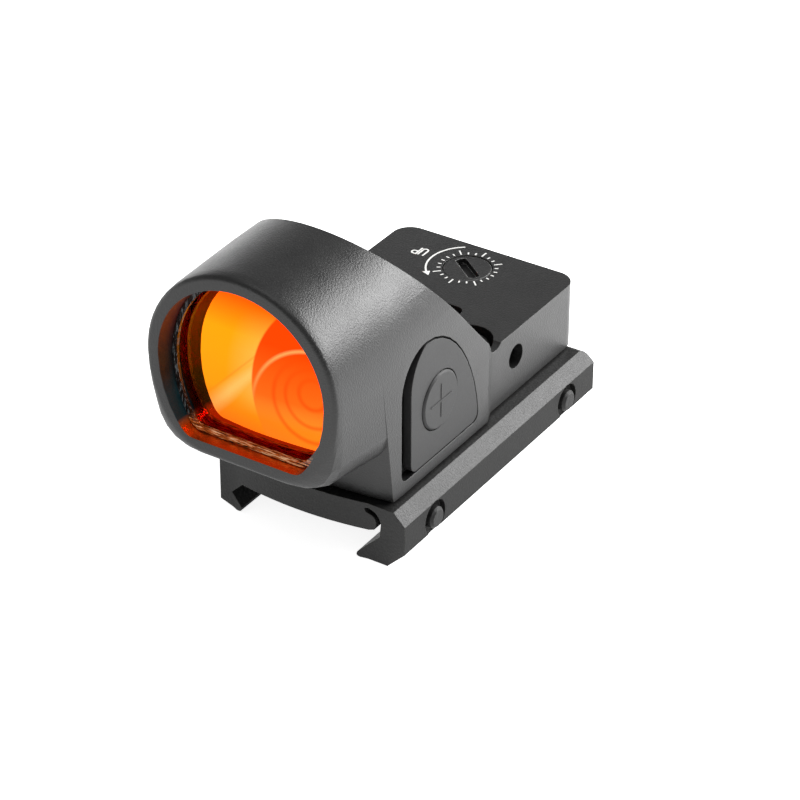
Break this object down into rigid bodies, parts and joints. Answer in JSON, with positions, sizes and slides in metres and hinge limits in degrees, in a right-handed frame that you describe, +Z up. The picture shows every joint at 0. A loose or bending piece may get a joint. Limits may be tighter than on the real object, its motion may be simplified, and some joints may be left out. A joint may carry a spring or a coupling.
{
  "type": "red dot finder",
  "caption": "Open reflex red dot finder with a hooded tilted lens, side keypads, click adjusters and a side clamp for a cross-slot rail.",
  "frame": {"origin": "on the clamp's flat rail seat, below the optical axis and midway along the clamp", "axes": "+Y along the optical axis from the lens to the adjuster deck, +X towards the plus keypad, +Z up out of the deck"},
  "size_m": [0.0332, 0.0589, 0.0422],
  "materials": {
    "anodised_body": "bead-blasted black anodised",
    "anodised_mount": "coarse black anodised",
    "coated_glass": "orange dichroic coating",
    "clear_glass": "polished",
    "adhesive": "glossy cured bead",
    "keypad_rubber": "matte",
    "seal_rubber": "smooth",
    "dark_steel": "black oxide",
    "bright_steel": "nickel plated",
    "gold_brass": "gold plated",
    "board_laminate": "solder mask",
    "chip_plastic": "moulded"
  },
  "bodies": {
    "sight": {"housing": "anodised_body", "lens": "coated_glass", "lens_bond_bead": "adhesive", "battery": "bright_steel", "battery_contact_low": "gold_brass", "keypad_plus": "keypad_rubber", "keypad_minus": "keypad_rubber", "snap_dome_plus": "bright_steel", "snap_dome_minus": "bright_steel", "elevation_spring": "dark_steel", "emitter_window": "clear_glass", "circuit_board": "board_laminate", "control_chip": "chip_plastic", "bottom_plate": "anodised_body", "deck_screw_left": "dark_steel", "deck_screw_right": "dark_steel", "side_set_screw": "dark_steel", "rail_clamp": "anodised_mount"},
    "plus_button": {"button_plus": "keypad_rubber"},
    "minus_button": {"button_minus": "keypad_rubber"},
    "cap_carrier": {"battery_cap_o_ring": "seal_rubber"},
    "cap": {"battery_cap": "anodised_body"},
    "elevation_dial": {"elevation_screw": "anodised_body", "elevation_o_ring": "seal_rubber"},
    "elevation_follower": {"elevation_nut": "gold_brass"},
    "windage_dial": {"windage_screw": "anodised_body", "windage_o_ring": "seal_rubber"},
    "windage_follower": {"windage_slider": "gold_brass"},
    "emitter": {"emitter_block": "dark_steel", "emitter_led": "gold_brass"},
    "front_bolt_carrier": {"bolt_washer_front": "dark_steel"},
    "front_bolt": {"cross_bolt_front": "dark_steel"},
    "rear_bolt_carrier": {"bolt_washer_rear": "dark_steel"},
    "rear_bolt": {"cross_bolt_rear": "dark_steel"}
  },
  "joints": [
    {"name": "plus_button_press", "type": "slide", "parent": "sight", "child": "plus_button", "axis": [-1, 0, 0], "range_m": [0, 0.00035], "stiffness_N_per_m": 1200},
    {"name": "minus_button_press", "type": "slide", "parent": "sight", "child": "minus_button", "axis": [1, 0, 0], "range_m": [0, 0.00035], "stiffness_N_per_m": 1200},
    {"name": "cap_lift", "type": "slide", "parent": "sight", "child": "cap_carrier", "axis": [0, 0, 1], "range_m": [0, 0.0016]},
    {"name": "cap_turn", "type": "hinge", "parent": "cap_carrier", "child": "cap", "pos_m": [0, -0.0112, 0.0105], "axis": [0, 0, 1], "range_deg": [0, 720]},
    {"name": "elevation_turn", "type": "hinge", "parent": "sight", "child": "elevation_dial", "pos_m": [0, 0.019, 0.013], "axis": [0, 0, 1], "range_deg": [-720, 720]},
    {"name": "elevation_nut_slide", "type": "slide", "parent": "sight", "child": "elevation_follower", "axis": [0, 0, 1], "range_m": [-0.00056, 0.00056], "deforming": ["elevation_spring"]},
    {"name": "windage_turn", "type": "hinge", "parent": "sight", "child": "windage_dial", "pos_m": [-0.013, 0.0154, 0.0076], "axis": [-1, 0, 0], "range_deg": [-720, 720]},
    {"name": "windage_slide", "type": "slide", "parent": "sight", "child": "windage_follower", "axis": [1, 0, 0], "range_m": [-0.00056, 0.00056]},
    {"name": "emitter_lift", "type": "slide", "parent": "windage_follower", "child": "emitter", "axis": [0, 0, 1], "range_m": [-0.00057, 0.00057]},
    {"name": "front_bolt_slide", "type": "slide", "parent": "sight", "child": "front_bolt_carrier", "axis": [-1, 0, 0], "range_m": [0, 0.0014]},
    {"name": "front_bolt_turn", "type": "hinge", "parent": "front_bolt_carrier", "child": "front_bolt", "pos_m": [-0.0125, -0.0166, -0.0001], "axis": [-1, 0, 0], "range_deg": [0, 720]},
    {"name": "rear_bolt_slide", "type": "slide", "parent": "sight", "child": "rear_bolt_carrier", "axis": [-1, 0, 0], "range_m": [0, 0.0014]},
    {"name": "rear_bolt_turn", "type": "hinge", "parent": "rear_bolt_carrier", "child": "rear_bolt", "pos_m": [-0.0125, 0.0166, -0.0001], "axis": [-1, 0, 0], "range_deg": [0, 720]}
  ],
  "couplings": [
    {"joint": "cap_turn", "follows": "cap_lift", "rad_per_m": 7853.9},
    {"joint": "elevation_turn", "follows": "elevation_nut_slide", "rad_per_m": -22439},
    {"joint": "emitter_lift", "follows": "elevation_nut_slide", "ratio": 1},
    {"joint": "windage_turn", "follows": "windage_slide", "rad_per_m": 22439},
    {"joint": "front_bolt_turn", "follows": "front_bolt_slide", "rad_per_m": 8975.9},
    {"joint": "rear_bolt_turn", "follows": "rear_bolt_slide", "rad_per_m": 8975.9}
  ]
}
